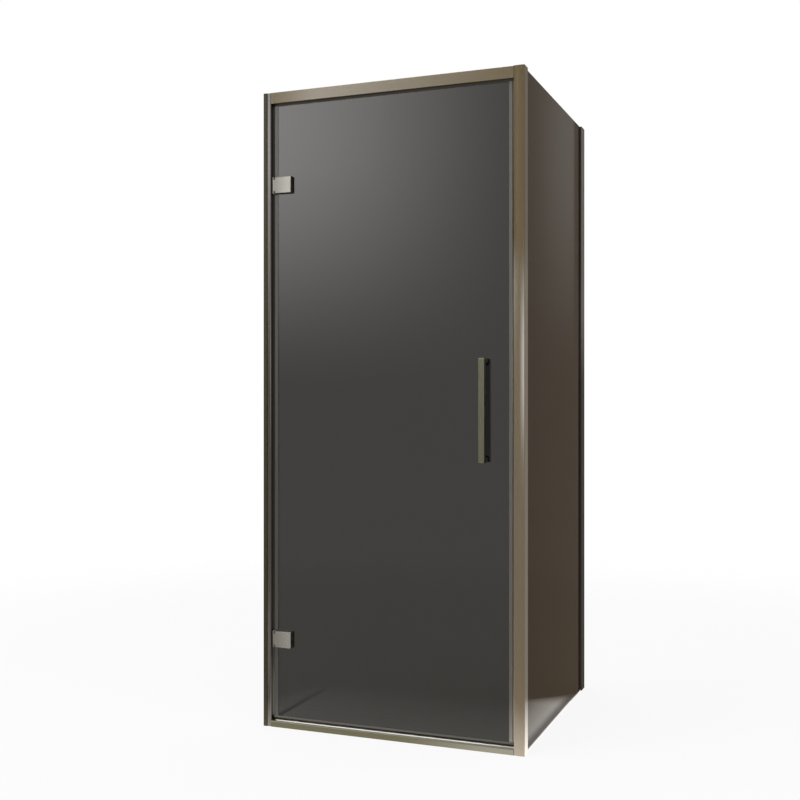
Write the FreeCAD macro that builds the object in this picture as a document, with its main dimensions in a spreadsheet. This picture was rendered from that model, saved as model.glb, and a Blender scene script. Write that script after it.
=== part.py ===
import FreeCAD, Part
import os
import re
import Sketcher

# Corner shower enclosure: an outward-opening glass door in a metal front frame, and a fixed
# glass side panel. Millimetres. X runs right from the left wall, Y runs from the door glass
# towards the back wall, Z runs up from the floor.
doc = FreeCAD.newDocument("corner_shower_enclosure")

# Driving dimensions, each named once.
SIZES = {
    # whole enclosure
    "overall_wide": 806,
    "overall_deep": 790,
    "overall_tall": 1900,
    # aluminium sections of the front frame
    "frame_deep": 36,
    "skin": 2,
    "channel_wide": 11.5,
    "channel_base": 2.5,
    "channel_edge": 0.8,
    "jamb_show": 13,
    "jamb_wide": 18,
    "jamb_nose": 3,
    "slide_gap": 0.25,
    "rail_drop": 1,
    "header_tall": 33.6,
    "header_edge": 1.2,
    "sill_tall": 18.7,
    "sill_nose": 4,
    "upstand_rise": 6,
    "upstand_thick": 3,
    "post_wide": 31,
    "post_rim": 4,
    "post_edge": 1.5,
    "post_crown": 0.8,
    "cap_thick": 1.5,
    "cap_edge": 0.6,
    "cap_plug": 10,
    "cap_fit": 0.2,
    "groove_deep": 12,
    "groove_wide": 14,
    "strike_wide": 12,
    "strike_thick": 2.5,
    # screw holes to the walls
    "screw_radius": 3,
    "screw_end": 150,
    "screw_inner": 650,
    # side panel
    "glass_thick": 8,
    "side_recess": 5,
    "edge_gap": 2,
    "seat_tall": 3,
    "pane_edge": 0.8,
    "lid_gap": 0.5,
    "bead_lip": 1.2,
    "slider_skin": 1.6,
    "slider_head": 30.5,
    "slider_tail": 11,
    "slider_edge": 0.8,
    "seam": 1.5,
    "rear_channel_deep": 17,
    "rear_channel_base": 2,
    "rear_channel_wide": 18,
    # door leaf and its seals
    "door_gap": 5,
    "hinge_seal_nose": 3.5,
    "hinge_seal_grip": 9,
    "close_seal_nose": 6,
    "close_seal_grip": 5,
    "drip_nose": 3.3,
    "drip_grip": 5,
    "drip_web": 1.4,
    "drip_lip": 2,
    "seal_wall": 1.2,
    "seal_round": 2.5,
    # hinges
    "hinge_inset": 278.5,
    "hinge_rise": 262.5,
    "plate_tall": 48.5,
    "plate_thick": 11.5,
    "plate_cover": 57,
    "plate_edge": 1,
    "inner_plate_thick": 10.5,
    "pad_thick": 1,
    "pad_margin": 0.6,
    "bracket_gap": 1.5,
    "bracket_thick": 2.5,
    "bracket_deep": 20,
    "bracket_lap": 1,
    "ear_tall": 7.5,
    "knuckle_gap": 0.5,
    "notch_clear": 0.5,
    "pin_radius": 3,
    "pin_clear": 0.06,
    "pin_tip": 1,
    "pin_edge": 0.6,
    "clamp_inset": 29,
    "clamp_pitch": 26,
    "boss_radius": 7,
    "boss_gap": 0.5,
    "boss_clear": 1,
    "thread_radius": 2.5,
    "thread_deep": 14,
    "clamp_radius": 3,
    "clamp_sink": 2.6,
    # handle
    "handle_inset": 109,
    "handle_wide": 18,
    "handle_thick": 14,
    "handle_tall": 291,
    "handle_low": 804,
    "handle_reach": 34,
    "handle_edge": 2,
    "handle_bevel": 1.5,
    "post_inset": 9,
    "post_radius": 7.5,
    "flange_radius": 9,
    "flange_thick": 3,
    "spigot_radius": 5,
    "spigot_clear": 1,
    "spigot_seat": 3,
    "inner_cap_radius": 11,
    "inner_cap_thick": 7,
    "inner_cap_edge": 2,
}

# Places that follow from the driving dimensions.
PLACES = {
    "front_face": "-frame_deep / 2",
    "rear_face": "frame_deep / 2",
    "back_wall": "overall_deep - frame_deep / 2",
    "jamb_right": "channel_wide + jamb_show",
    "jamb_left": "jamb_right - jamb_wide",
    "jamb_front": "front_face + skin + slide_gap",
    "jamb_rear": "rear_face - skin - slide_gap",
    "post_left": "overall_wide - post_wide",
    "post_shoulder": "front_face + post_crown",
    "post_middle": "overall_wide - post_wide / 2",
    "crown_centre": "front_face + (post_wide ^ 2 / 4 + post_crown ^ 2) / (2 * post_crown)",
    "rail_top": "overall_tall - rail_drop",
    "post_top": "overall_tall - cap_thick",
    "header_low": "rail_top - header_tall",
    "glass_front": "-glass_thick / 2",
    "glass_rear": "glass_thick / 2",
    "side_outer": "overall_wide - side_recess",
    "side_inner": "side_outer - glass_thick",
    "side_top": "post_top - lid_gap",
    "groove_right": "overall_wide - skin",
    "groove_left": "groove_right - groove_wide",
    "groove_floor": "rear_face - groove_deep",
    "side_front": "groove_floor + edge_gap",
    "channel_front": "back_wall - rear_channel_deep",
    "slider_neck": "channel_front - seam",
    "slider_front": "slider_neck - slider_head",
    "slider_back": "slider_neck + slider_tail",
    "slider_floor": "slider_front + groove_deep",
    "side_back": "slider_floor - edge_gap",
    "rear_left": "overall_wide - rear_channel_wide",
    "tail_left": "rear_left + skin + slide_gap",
    "tail_right": "overall_wide - skin - slide_gap",
    "leaf_left": "jamb_right + door_gap",
    "leaf_right": "post_left - door_gap",
    "leaf_low": "sill_tall + door_gap",
    "pane_left": "leaf_left + hinge_seal_nose",
    "pane_right": "leaf_right - close_seal_nose",
    "pane_low": "leaf_low + drip_nose",
    "pane_top": "header_low - door_gap",
    "knuckle_radius": "plate_thick / 2",
    "plate_rear": "glass_front - pad_thick",
    "plate_front": "plate_rear - plate_thick",
    "pin_across": "jamb_right + bracket_gap + knuckle_radius",
    "pin_along": "plate_rear - knuckle_radius",
    "plate_right": "pane_left + plate_cover",
    "notch_right": "pin_across + knuckle_radius + notch_clear",
    "bracket_right": "jamb_right + bracket_thick",
    "inner_plate_left": "bracket_right + door_gap",
    "inner_plate_front": "glass_rear + pad_thick",
    "inner_plate_rear": "inner_plate_front + inner_plate_thick",
    "hinge_upper": "overall_tall - hinge_inset",
    "hinge_lower": "hinge_rise",
    "clamp_across": "pane_left + clamp_inset",
    "handle_right": "overall_wide - handle_inset",
    "handle_left": "handle_right - handle_wide",
    "handle_middle": "handle_right - handle_wide / 2",
    "handle_front": "glass_front - handle_reach",
    "handle_back": "handle_front + handle_thick",
    "handle_top": "handle_low + handle_tall",
    "post_lower": "handle_low + post_inset",
    "post_upper": "handle_top - post_inset",
}

# Tolerances of this file's own tests, in millimetres.
NEAR = 1e-4


def fill_sheet(name, rows):
    """Make a sheet with one named cell for each row."""
    sheet = doc.addObject("Spreadsheet::Sheet", name)
    for number, (alias, text) in enumerate(rows.items(), start=1):
        sheet.set("A%d" % number, alias)
        sheet.set("B%d" % number, str(text))
        sheet.setAlias("B%d" % number, alias)
    doc.recompute()
    return sheet


def bound(text):
    """Put the sheet's name before each size or place that an expression names."""

    def qualified(match):
        word = match.group(0)
        if word in SIZES:
            return "Sizes." + word
        if word in PLACES:
            return "Places." + word
        return word

    return re.sub(r"[a-z]+(?:_[a-z]+)*", qualified, text)


sizes_sheet = fill_sheet("Sizes", SIZES)
places_sheet = fill_sheet("Places", {alias: "=" + bound(text) for alias, text in PLACES.items()})


def amount(text):
    """The number that an expression on sizes and places gives."""
    return float(sizes_sheet.evalExpression(bound(text)))


def new_body(label):
    """A body for one piece."""
    body = doc.addObject("PartDesign::Body", label)
    body.Label = label
    body.AllowCompound = True
    return body


def new_sketch(body, plane, offset):
    """A sketch on one of the body's own planes, moved along the plane's normal."""
    sketch = body.newObject("Sketcher::SketchObject", body.Name + "_sketch")
    origin_plane = next(item for item in body.Origin.OriginFeatures if item.Role == plane)
    sketch.AttachmentSupport = [(origin_plane, "")]
    sketch.MapMode = "FlatFace"
    sketch.setExpression("AttachmentOffset.Base.z", bound(offset))
    return sketch


def pin_point(sketch, shape, point, across, along):
    """Tie one point of a sketch to its two named distances from the origin."""
    for kind, text in (("DistanceX", across), ("DistanceY", along)):
        if text is None:
            continue
        number = sketch.addConstraint(Sketcher.Constraint(kind, -1, 1, shape, point, amount(text)))
        sketch.setExpression("Constraints[%d]" % number, bound(text))


def draw_loop(sketch, loop):
    """Draw a closed outline, counter-clockwise.

    Each item is a corner (across, along), or an arc (turn, across, along) about that centre,
    which joins the corners before and after it. The turn is out for a round nose and in for
    a hollow.
    """
    corners = [item for item in loop if len(item) == 2]
    points = [FreeCAD.Vector(amount(across), amount(along), 0) for across, along in corners]
    first = sketch.GeometryCount
    starts = []
    ends = []
    position = -1
    arcs = {}
    for item in loop:
        if len(item) == 2:
            position += 1
        else:
            arcs[position] = item
    for index, start in enumerate(points):
        end = points[(index + 1) % len(points)]
        shape = first + index
        if index not in arcs:
            sketch.addGeometry(Part.LineSegment(start, end), False)
            starts.append((shape, 1))
            ends.append((shape, 2))
            continue
        turn, across, along = arcs[index]
        centre = FreeCAD.Vector(amount(across), amount(along), 0)
        tail, head = (start, end) if turn == "out" else (end, start)
        circle = Part.Circle(centre, FreeCAD.Vector(0, 0, 1), (start - centre).Length)
        sketch.addGeometry(Part.ArcOfCircle(circle, circle.parameter(tail), circle.parameter(head)), False)
        starts.append((shape, 1 if turn == "out" else 2))
        ends.append((shape, 2 if turn == "out" else 1))
    for index, (across, along) in enumerate(corners):
        following = (index + 1) % len(corners)
        sketch.addConstraint(Sketcher.Constraint("Coincident", *ends[index], *starts[following]))
        pin_point(sketch, *starts[index], across, along)
    for index, (turn, across, along) in arcs.items():
        start = points[index]
        end = points[(index + 1) % len(points)]
        upright_chord = abs(end.x - start.x) < abs(end.y - start.y)
        if upright_chord:
            pin_point(sketch, first + index, 3, across, None)
        else:
            pin_point(sketch, first + index, 3, None, along)


def draw_circle(sketch, across, along, radius):
    """Draw a circle at a named place."""
    centre = FreeCAD.Vector(amount(across), amount(along), 0)
    circle = Part.Circle(centre, FreeCAD.Vector(0, 0, 1), amount(radius))
    shape = sketch.addGeometry(circle, False)
    pin_point(sketch, shape, 3, across, along)
    number = sketch.addConstraint(Sketcher.Constraint("Radius", shape, amount(radius)))
    sketch.setExpression("Constraints[%d]" % number, bound(radius))


# Each direction's plane, whether a pad on it is turned round, and the sign of its offset.
DIRECTIONS = {
    "Z": ("XY_Plane", False, ""),
    "X": ("YZ_Plane", False, ""),
    "Y": ("XZ_Plane", True, "-"),
}


def extrude(body, direction, low, high, loops=(), circles=(), cut=False):
    """Pad or pocket the given outlines along one axis, from the place low to the place high."""
    plane, reverse, sign = DIRECTIONS[direction]
    sketch = new_sketch(body, plane, "%s(%s)" % (sign, low))
    for loop in loops:
        draw_loop(sketch, loop)
    for circle in circles:
        draw_circle(sketch, *circle)
    kind = "Pocket" if cut else "Pad"
    before = body.Shape.Volume if cut else 0
    feature = body.newObject("PartDesign::" + kind, body.Name + "_" + kind.lower())
    feature.Profile = sketch
    feature.Reversed = reverse != cut
    feature.setExpression("Length", bound("(%s) - (%s)" % (high, low)))
    body.Tip = feature
    doc.recompute()
    if cut and body.Shape.Volume > before - NEAR:
        raise RuntimeError("a cut removed nothing from " + body.Label)


def box_loop(left, low, right, high):
    """A rectangle between two corners."""
    return [(left, low), (right, low), (right, high), (left, high)]


def rounded(corner, across, along, radius):
    """The items of one rounded corner of a counter-clockwise outline, such as right low."""
    right = corner.startswith("right")
    high = corner.endswith("high")
    inset_across = "%s %s %s" % (across, "-" if right else "+", radius)
    inset_along = "%s %s %s" % (along, "-" if high else "+", radius)
    on_level = (inset_across, along)
    on_side = (across, inset_along)
    centre = ("out", inset_across, inset_along)
    return [on_side, centre, on_level] if right == high else [on_level, centre, on_side]


def round_box(left, low, right, high, radius):
    """A rectangle with four rounded corners."""
    return (
        rounded("left low", left, low, radius) + rounded("right low", right, low, radius)
        + rounded("right high", right, high, radius) + rounded("left high", left, high, radius)
    )


def soften(body, kind, size, chosen):
    """Round (Fillet) or bevel (Chamfer) the body's edges that the test picks."""
    base = body.Tip
    edges = ["Edge%d" % number for number, edge in enumerate(base.Shape.Edges, start=1) if chosen(edge)]
    if not edges:
        raise RuntimeError("no edge to soften on " + body.Label)
    feature = body.newObject("PartDesign::" + kind, body.Name + "_" + kind.lower())
    feature.Base = (base, edges)
    feature.setExpression("Radius" if kind == "Fillet" else "Size", bound(size))
    body.Tip = feature
    doc.recompute()


def lies_at(edge, across=None, along=None, height=None):
    """Whether every end of an edge has the coordinates that are given."""
    wanted = (across, along, height)
    for vertex in edge.Vertexes:
        for value, text in zip(vertex.Point, wanted):
            if text is not None and abs(value - amount(text)) > NEAR:
                return False
    return True


def is_round(edge):
    """Whether an edge is a circle."""
    return edge.Curve.TypeId == "Part::GeomCircle"


def screw_heights():
    """Heights of the four wall screws, in two pairs about the middle of the profile."""
    return ("screw_end", "screw_inner", "overall_tall - screw_inner", "overall_tall - screw_end")


def wall_channel_left():
    """U channel on the left wall, open to the right, with four screw holes in its base."""
    body = new_body("wall_channel_left")
    outline = [("0", "front_face")]
    outline += rounded("right low", "channel_wide", "front_face", "channel_edge")
    outline += [
        ("channel_wide", "front_face + skin"), ("channel_base", "front_face + skin"),
        ("channel_base", "rear_face - skin"), ("channel_wide", "rear_face - skin"),
    ]
    outline += rounded("right high", "channel_wide", "rear_face", "channel_edge")
    outline += [("0", "rear_face")]
    extrude(body, "Z", "0", "rail_top", [outline])
    holes = [("0", height, "screw_radius") for height in screw_heights()]
    extrude(body, "X", "0", "channel_base", circles=holes, cut=True)


def hinge_jamb():
    """Hollow jamb with a rounded nose. It slides in the wall channel and carries the hinges."""
    body = new_body("hinge_jamb")
    outline = [("jamb_left", "jamb_front")]
    outline += rounded("right low", "jamb_right", "jamb_front", "jamb_nose")
    outline += rounded("right high", "jamb_right", "jamb_rear", "channel_edge")
    outline += [("jamb_left", "jamb_rear")]
    hollow = [
        ("jamb_left + skin", "jamb_front + skin"), ("jamb_right - jamb_nose", "jamb_front + skin"),
        ("out", "jamb_right - jamb_nose", "jamb_front + jamb_nose"),
        ("jamb_right - skin", "jamb_front + jamb_nose"),
        ("jamb_right - skin", "jamb_rear - skin"), ("jamb_left + skin", "jamb_rear - skin"),
    ]
    extrude(body, "Z", "0", "rail_top", [outline, hollow])


def header_rail():
    """Hollow rail over the door, between the jamb and the corner post."""
    body = new_body("header_rail")
    outer = round_box("front_face", "header_low", "rear_face", "rail_top", "header_edge")
    hollow = box_loop("front_face + skin", "header_low + skin", "rear_face - skin", "rail_top - skin")
    extrude(body, "X", "jamb_right", "post_left", [outer, hollow])


def threshold_rail():
    """Low hollow sill with a rounded front nose and a water bar behind the door."""
    body = new_body("threshold_rail")
    outer = [
        ("front_face", "0"), ("rear_face", "0"),
        ("rear_face", "sill_tall + upstand_rise"),
        ("rear_face - upstand_thick", "sill_tall + upstand_rise"),
        ("rear_face - upstand_thick", "sill_tall"),
    ]
    outer += rounded("left high", "front_face", "sill_tall", "sill_nose")
    hollow = [
        ("front_face + skin", "skin"), ("rear_face - skin", "skin"),
        ("rear_face - skin", "sill_tall - skin"),
        ("front_face + sill_nose", "sill_tall - skin"),
        ("out", "front_face + sill_nose", "sill_tall - sill_nose"),
        ("front_face + skin", "sill_tall - sill_nose"),
    ]
    extrude(body, "X", "jamb_right", "post_left", [outer, hollow])


def crowned_front():
    """The post's slightly crowned front, from its left shoulder to its right one."""
    return [
        ("post_left", "post_shoulder"), ("out", "post_middle", "crown_centre"),
        ("overall_wide", "post_shoulder"),
    ]


def is_shoulder(edge):
    """Whether an edge stands at an end of the post's crowned front."""
    return (lies_at(edge, across="post_left", along="post_shoulder")
            or lies_at(edge, across="overall_wide", along="post_shoulder"))


def corner_post():
    """Post at the open corner: a hollow front, a groove for the side glass and one for the magnet."""
    body = new_body("corner_post")
    outer = crowned_front()
    outer += [
        ("overall_wide", "rear_face"), ("groove_right", "rear_face"),
        ("groove_right", "groove_floor"), ("groove_left", "groove_floor"),
        ("groove_left", "rear_face"), ("post_left", "rear_face"),
        ("post_left", "strike_wide / 2"), ("post_left + strike_thick", "strike_wide / 2"),
        ("post_left + strike_thick", "-strike_wide / 2"), ("post_left", "-strike_wide / 2"),
    ]
    hollow = [
        ("post_left + post_rim", "front_face + skin"),
        ("groove_right", "front_face + skin"),
        ("groove_right", "groove_floor - skin"),
        ("groove_left - skin", "groove_floor - skin"),
        ("groove_left - skin", "rear_face - skin"),
        ("post_left + post_rim", "rear_face - skin"),
    ]
    extrude(body, "Z", "0", "post_top", [outer, hollow])
    soften(body, "Fillet", "post_edge", is_shoulder)


def corner_post_cap():
    """End cap on the corner post, with a plug that fits its hollow."""
    body = new_body("corner_post_cap")
    lid = crowned_front()
    lid += [("overall_wide", "rear_face"), ("post_left", "rear_face")]
    extrude(body, "Z", "post_top", "overall_tall", [lid])
    soften(body, "Fillet", "post_edge", is_shoulder)
    soften(body, "Fillet", "cap_edge", lambda edge: lies_at(edge, height="overall_tall"))
    plug = [
        ("post_left + post_rim + cap_fit", "front_face + skin + cap_fit"),
        ("groove_right - cap_fit", "front_face + skin + cap_fit"),
        ("groove_right - cap_fit", "groove_floor - skin - cap_fit"),
        ("groove_left - skin - cap_fit", "groove_floor - skin - cap_fit"),
        ("groove_left - skin - cap_fit", "rear_face - skin - cap_fit"),
        ("post_left + post_rim + cap_fit", "rear_face - skin - cap_fit"),
    ]
    extrude(body, "Z", "post_top - cap_plug", "post_top", [plug])


def end_plugs():
    """Plugs in the hollow tops of the jamb and the adjusting profile, flush with them."""
    jamb_plug = new_body("jamb_end_plug")
    outline = [
        ("jamb_left + skin + cap_fit", "jamb_front + skin + cap_fit"),
        ("jamb_right - jamb_nose", "jamb_front + skin + cap_fit"),
        ("out", "jamb_right - jamb_nose", "jamb_front + jamb_nose"),
        ("jamb_right - skin - cap_fit", "jamb_front + jamb_nose"),
        ("jamb_right - skin - cap_fit", "jamb_rear - skin - cap_fit"),
        ("jamb_left + skin + cap_fit", "jamb_rear - skin - cap_fit"),
    ]
    extrude(jamb_plug, "Z", "rail_top - cap_plug", "rail_top", [outline])

    side_plug = new_body("side_profile_end_plug")
    head_front = "slider_floor + slider_skin + cap_fit"
    head_back = "slider_neck - slider_skin - cap_fit"
    tail_back = "slider_back - slider_skin - cap_fit"
    outline = [
        ("groove_left + cap_fit", head_front), ("groove_right - cap_fit", head_front),
        ("groove_right - cap_fit", head_back),
        ("tail_right - slider_skin - cap_fit", head_back),
        ("tail_right - slider_skin - cap_fit", tail_back),
        ("tail_left + slider_skin + cap_fit", tail_back),
        ("tail_left + slider_skin + cap_fit", head_back),
        ("groove_left + cap_fit", head_back),
    ]
    extrude(side_plug, "Z", "rail_top - cap_plug", "rail_top", [outline])


def strike_magnet():
    """Magnet strip set flush in the post's face, where the door closes."""
    body = new_body("strike_magnet")
    outline = box_loop("post_left", "-strike_wide / 2", "post_left + strike_thick", "strike_wide / 2")
    extrude(body, "Z", "sill_tall", "header_low", [outline])


def side_glass():
    """Fixed side panel with ground edges, from the post's groove to the adjusting profile's."""
    body = new_body("side_glass")
    outline = box_loop("side_inner", "side_front", "side_outer", "side_back")
    extrude(body, "Z", "seat_tall", "side_top", [outline])
    soften(body, "Chamfer", "pane_edge", lambda edge: True)


def side_gaskets():
    """Two beads on each upright edge of the side glass, one each side of it."""
    corner = new_body("side_gasket_corner")
    extrude(corner, "Z", "seat_tall", "side_top", [
        box_loop("groove_left", "side_front", "side_inner", "rear_face + bead_lip"),
        box_loop("side_outer", "side_front", "groove_right", "rear_face + bead_lip"),
    ])
    wall = new_body("side_gasket_wall")
    extrude(wall, "Z", "seat_tall", "side_top", [
        box_loop("groove_left", "slider_front - bead_lip", "side_inner", "side_back"),
        box_loop("side_outer", "slider_front - bead_lip", "groove_right", "side_back"),
    ])


def side_adjusting_profile():
    """Profile with a grooved head for the side glass and a tail that slides in the rear channel."""
    body = new_body("side_adjusting_profile")
    outer = rounded("left low", "rear_left", "slider_front", "slider_edge")
    outer += [
        ("groove_left", "slider_front"), ("groove_left", "slider_floor"),
        ("groove_right", "slider_floor"), ("groove_right", "slider_front"),
    ]
    outer += rounded("right low", "overall_wide", "slider_front", "slider_edge")
    outer += rounded("right high", "overall_wide", "slider_neck", "slider_edge")
    outer += [
        ("tail_right", "slider_neck"), ("tail_right", "slider_back"),
        ("tail_left", "slider_back"), ("tail_left", "slider_neck"),
    ]
    outer += rounded("left high", "rear_left", "slider_neck", "slider_edge")
    hollow = [
        ("groove_left", "slider_floor + slider_skin"), ("groove_right", "slider_floor + slider_skin"),
        ("groove_right", "slider_neck - slider_skin"),
        ("tail_right - slider_skin", "slider_neck - slider_skin"),
        ("tail_right - slider_skin", "slider_back - slider_skin"),
        ("tail_left + slider_skin", "slider_back - slider_skin"),
        ("tail_left + slider_skin", "slider_neck - slider_skin"),
        ("groove_left", "slider_neck - slider_skin"),
    ]
    extrude(body, "Z", "0", "rail_top", [outer, hollow])


def wall_channel_rear():
    """U channel on the back wall, open to the front, with four screw holes in its base."""
    body = new_body("wall_channel_rear")
    outline = rounded("left low", "rear_left", "channel_front", "channel_edge")
    outline += [
        ("rear_left + skin", "channel_front"),
        ("rear_left + skin", "back_wall - rear_channel_base"),
        ("overall_wide - skin", "back_wall - rear_channel_base"),
        ("overall_wide - skin", "channel_front"),
    ]
    outline += rounded("right low", "overall_wide", "channel_front", "channel_edge")
    outline += [("overall_wide", "back_wall"), ("rear_left", "back_wall")]
    extrude(body, "Z", "0", "rail_top", [outline])
    middle = "overall_wide - rear_channel_wide / 2"
    holes = [(middle, height, "screw_radius") for height in screw_heights()]
    extrude(body, "Y", "back_wall - rear_channel_base", "back_wall", circles=holes, cut=True)


def side_bottom_seal():
    """Bead that the side glass stands on, along the floor."""
    body = new_body("side_bottom_seal")
    outline = box_loop("side_inner", "rear_face", "side_outer", "slider_front")
    extrude(body, "Z", "0", "seat_tall", [outline])


def clamp_screws(middle, radius):
    """Circles at the two clamp screws of the hinge at a height."""
    rises = (" - clamp_pitch / 2", " + clamp_pitch / 2")
    return [("clamp_across", middle + rise, radius) for rise in rises]


def hinge_fixed_half(level, middle):
    """The hinge's fixed half: a bracket on the jamb with two ears, and the pin through them."""
    low = middle + " - plate_tall / 2"
    high = middle + " + plate_tall / 2"
    bracket = new_body("hinge_bracket_" + level)
    back_plate = box_loop("jamb_right", "plate_rear - bracket_lap", "bracket_right",
                          "plate_rear - bracket_lap + bracket_deep")
    ear = [
        ("jamb_right", "pin_along"), ("pin_across - knuckle_radius", "pin_along"),
        ("out", "pin_across", "pin_along"),
        ("pin_across", "plate_rear"), ("jamb_right", "plate_rear"),
    ]
    pin_seat = ("pin_across", "pin_along", "pin_radius")
    extrude(bracket, "Z", low, high, [back_plate])
    extrude(bracket, "Z", low, low + " + ear_tall", [ear], [pin_seat])
    extrude(bracket, "Z", high + " - ear_tall", high, [ear], [pin_seat])

    pin = new_body("hinge_pin_" + level)
    extrude(pin, "Z", low + " - pin_tip", high + " + pin_tip", circles=[pin_seat])
    soften(pin, "Chamfer", "pin_edge", is_round)


def hinge_moving_half(level, middle):
    """The hinge's moving half: outer plate with its knuckle, inner plate, and pads on the glass."""
    low = middle + " - plate_tall / 2"
    high = middle + " + plate_tall / 2"
    boss_end = "inner_plate_front - boss_gap"
    outer = new_body("hinge_plate_outer_" + level)
    clamp = box_loop("notch_right", "plate_front", "plate_right", "plate_rear")
    knuckle = [
        ("pin_across", "plate_front"), ("notch_right + notch_clear", "plate_front"),
        ("notch_right + notch_clear", "plate_rear"), ("pin_across", "plate_rear"),
        ("out", "pin_across", "pin_along"),
    ]
    extrude(outer, "Z", low, high, [clamp])
    soften(outer, "Fillet", "plate_edge", lambda edge:
           lies_at(edge, along="plate_front") and not lies_at(edge, across="notch_right"))
    extrude(outer, "Z", low + " + ear_tall + knuckle_gap", high + " - ear_tall - knuckle_gap",
            [knuckle], [("pin_across", "pin_along", "pin_radius + pin_clear")])
    extrude(outer, "Y", "plate_rear", boss_end, circles=clamp_screws(middle, "boss_radius"))
    extrude(outer, "Y", boss_end + " - thread_deep", boss_end,
            circles=clamp_screws(middle, "thread_radius"), cut=True)

    inner = new_body("hinge_plate_inner_" + level)
    inside = box_loop("inner_plate_left", "inner_plate_front", "plate_right", "inner_plate_rear")
    extrude(inner, "Z", low, high, [inside])
    soften(inner, "Fillet", "plate_edge", lambda edge: lies_at(edge, along="inner_plate_rear"))
    extrude(inner, "Y", "inner_plate_front", "inner_plate_rear",
            circles=clamp_screws(middle, "clamp_radius"), cut=True)
    soften(inner, "Chamfer", "clamp_sink", lambda edge:
           is_round(edge) and lies_at(edge, along="inner_plate_rear"))

    pads = new_body("hinge_gasket_" + level)
    extrude(pads, "Z", low + " - pad_margin", high + " + pad_margin", [
        box_loop("pane_left", "plate_rear", "plate_right + pad_margin", "glass_front"),
        box_loop("pane_left", "glass_rear", "plate_right + pad_margin", "inner_plate_front"),
    ])
    extrude(pads, "Y", "plate_rear", "inner_plate_front",
            circles=clamp_screws(middle, "boss_radius + boss_gap"), cut=True)


def door_glass():
    """The door's pane, with ground edges and holes for the hinge bosses and the handle."""
    body = new_body("door_glass")
    extrude(body, "Z", "pane_low", "pane_top",
            [box_loop("pane_left", "glass_front", "pane_right", "glass_rear")])
    soften(body, "Chamfer", "pane_edge", lambda edge: True)
    holes = clamp_screws("hinge_upper", "boss_radius + boss_clear")
    holes += clamp_screws("hinge_lower", "boss_radius + boss_clear")
    holes += [("handle_middle", height, "spigot_radius + spigot_clear")
              for height in ("post_lower", "post_upper")]
    extrude(body, "Y", "glass_front", "glass_rear", circles=holes, cut=True)


def hinge_side_seal():
    """Seal on the hinge edge of the pane, in three lengths that leave the hinges free."""
    body = new_body("hinge_side_seal")
    grip_end = "pane_left + hinge_seal_grip"
    outline = rounded("left low", "leaf_left", "glass_front - seal_wall", "seal_round")
    outline += [
        (grip_end, "glass_front - seal_wall"), (grip_end, "glass_front"),
        ("pane_left", "glass_front"), ("pane_left", "glass_rear"),
        (grip_end, "glass_rear"), (grip_end, "glass_rear + seal_wall"),
    ]
    outline += rounded("left high", "leaf_left", "glass_rear + seal_wall", "seal_round")
    spans = [
        ("pane_low + drip_grip", "hinge_lower - plate_tall / 2 - pad_margin"),
        ("hinge_lower + plate_tall / 2 + pad_margin", "hinge_upper - plate_tall / 2 - pad_margin"),
        ("hinge_upper + plate_tall / 2 + pad_margin", "pane_top"),
    ]
    for low, high in spans:
        extrude(body, "Z", low, high, [outline])


def magnetic_seal():
    """Seal with a magnet in its nose, on the closing edge of the pane."""
    body = new_body("magnetic_seal")
    grip_end = "pane_right - close_seal_grip"
    outline = [(grip_end, "glass_front - seal_wall")]
    outline += rounded("right low", "leaf_right", "glass_front - seal_wall", "seal_round")
    outline += rounded("right high", "leaf_right", "glass_rear + seal_wall", "seal_round")
    outline += [
        (grip_end, "glass_rear + seal_wall"), (grip_end, "glass_rear"),
        ("pane_right", "glass_rear"), ("pane_right", "glass_front"), (grip_end, "glass_front"),
    ]
    extrude(body, "Z", "pane_low + drip_grip", "pane_top", [outline])


def drip_seal():
    """Seal along the bottom edge of the pane, with a lip that drips inside the sill."""
    body = new_body("drip_seal")
    grip_end = "pane_low + drip_grip"
    outline = [
        ("glass_rear - drip_lip", "leaf_low"), ("glass_rear + seal_wall", "pane_low - drip_web"),
        ("glass_rear + seal_wall", grip_end), ("glass_rear", grip_end),
        ("glass_rear", "pane_low"), ("glass_front", "pane_low"),
        ("glass_front", grip_end), ("glass_front - seal_wall", grip_end),
        ("glass_front - seal_wall", "pane_low - drip_web"), ("glass_rear - 2 * drip_lip", "leaf_low"),
    ]
    extrude(body, "X", "leaf_left", "leaf_right", [outline])


def handle_post(level, height):
    """One handle post, with a flange on the glass and a spigot through it, and its inner cap."""
    post = new_body("handle_post_" + level)
    flange_front = "glass_front - flange_thick"
    extrude(post, "Y", "handle_back", flange_front, circles=[("handle_middle", height, "post_radius")])
    extrude(post, "Y", flange_front, "glass_front",
            circles=[("handle_middle", height, "flange_radius")])
    extrude(post, "Y", "glass_front", "glass_rear + spigot_seat",
            circles=[("handle_middle", height, "spigot_radius")])

    cap = new_body("handle_inner_cap_" + level)
    cap_end = "glass_rear + inner_cap_thick"
    extrude(cap, "Y", "glass_rear", cap_end, circles=[("handle_middle", height, "inner_cap_radius")])
    soften(cap, "Fillet", "inner_cap_edge", lambda edge: is_round(edge) and lies_at(edge, along=cap_end))
    extrude(cap, "Y", "glass_rear", "glass_rear + spigot_seat",
            circles=[("handle_middle", height, "spigot_radius")], cut=True)


def handle_bar():
    """Square bar of the handle, outside the door, with rounded edges and bevelled ends."""
    bar = new_body("handle_bar")
    outline = round_box("handle_left", "handle_front", "handle_right", "handle_back", "handle_edge")
    extrude(bar, "Z", "handle_low", "handle_top", [outline])
    soften(bar, "Chamfer", "handle_bevel", lambda edge:
           lies_at(edge, height="handle_low") or lies_at(edge, height="handle_top"))


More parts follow.
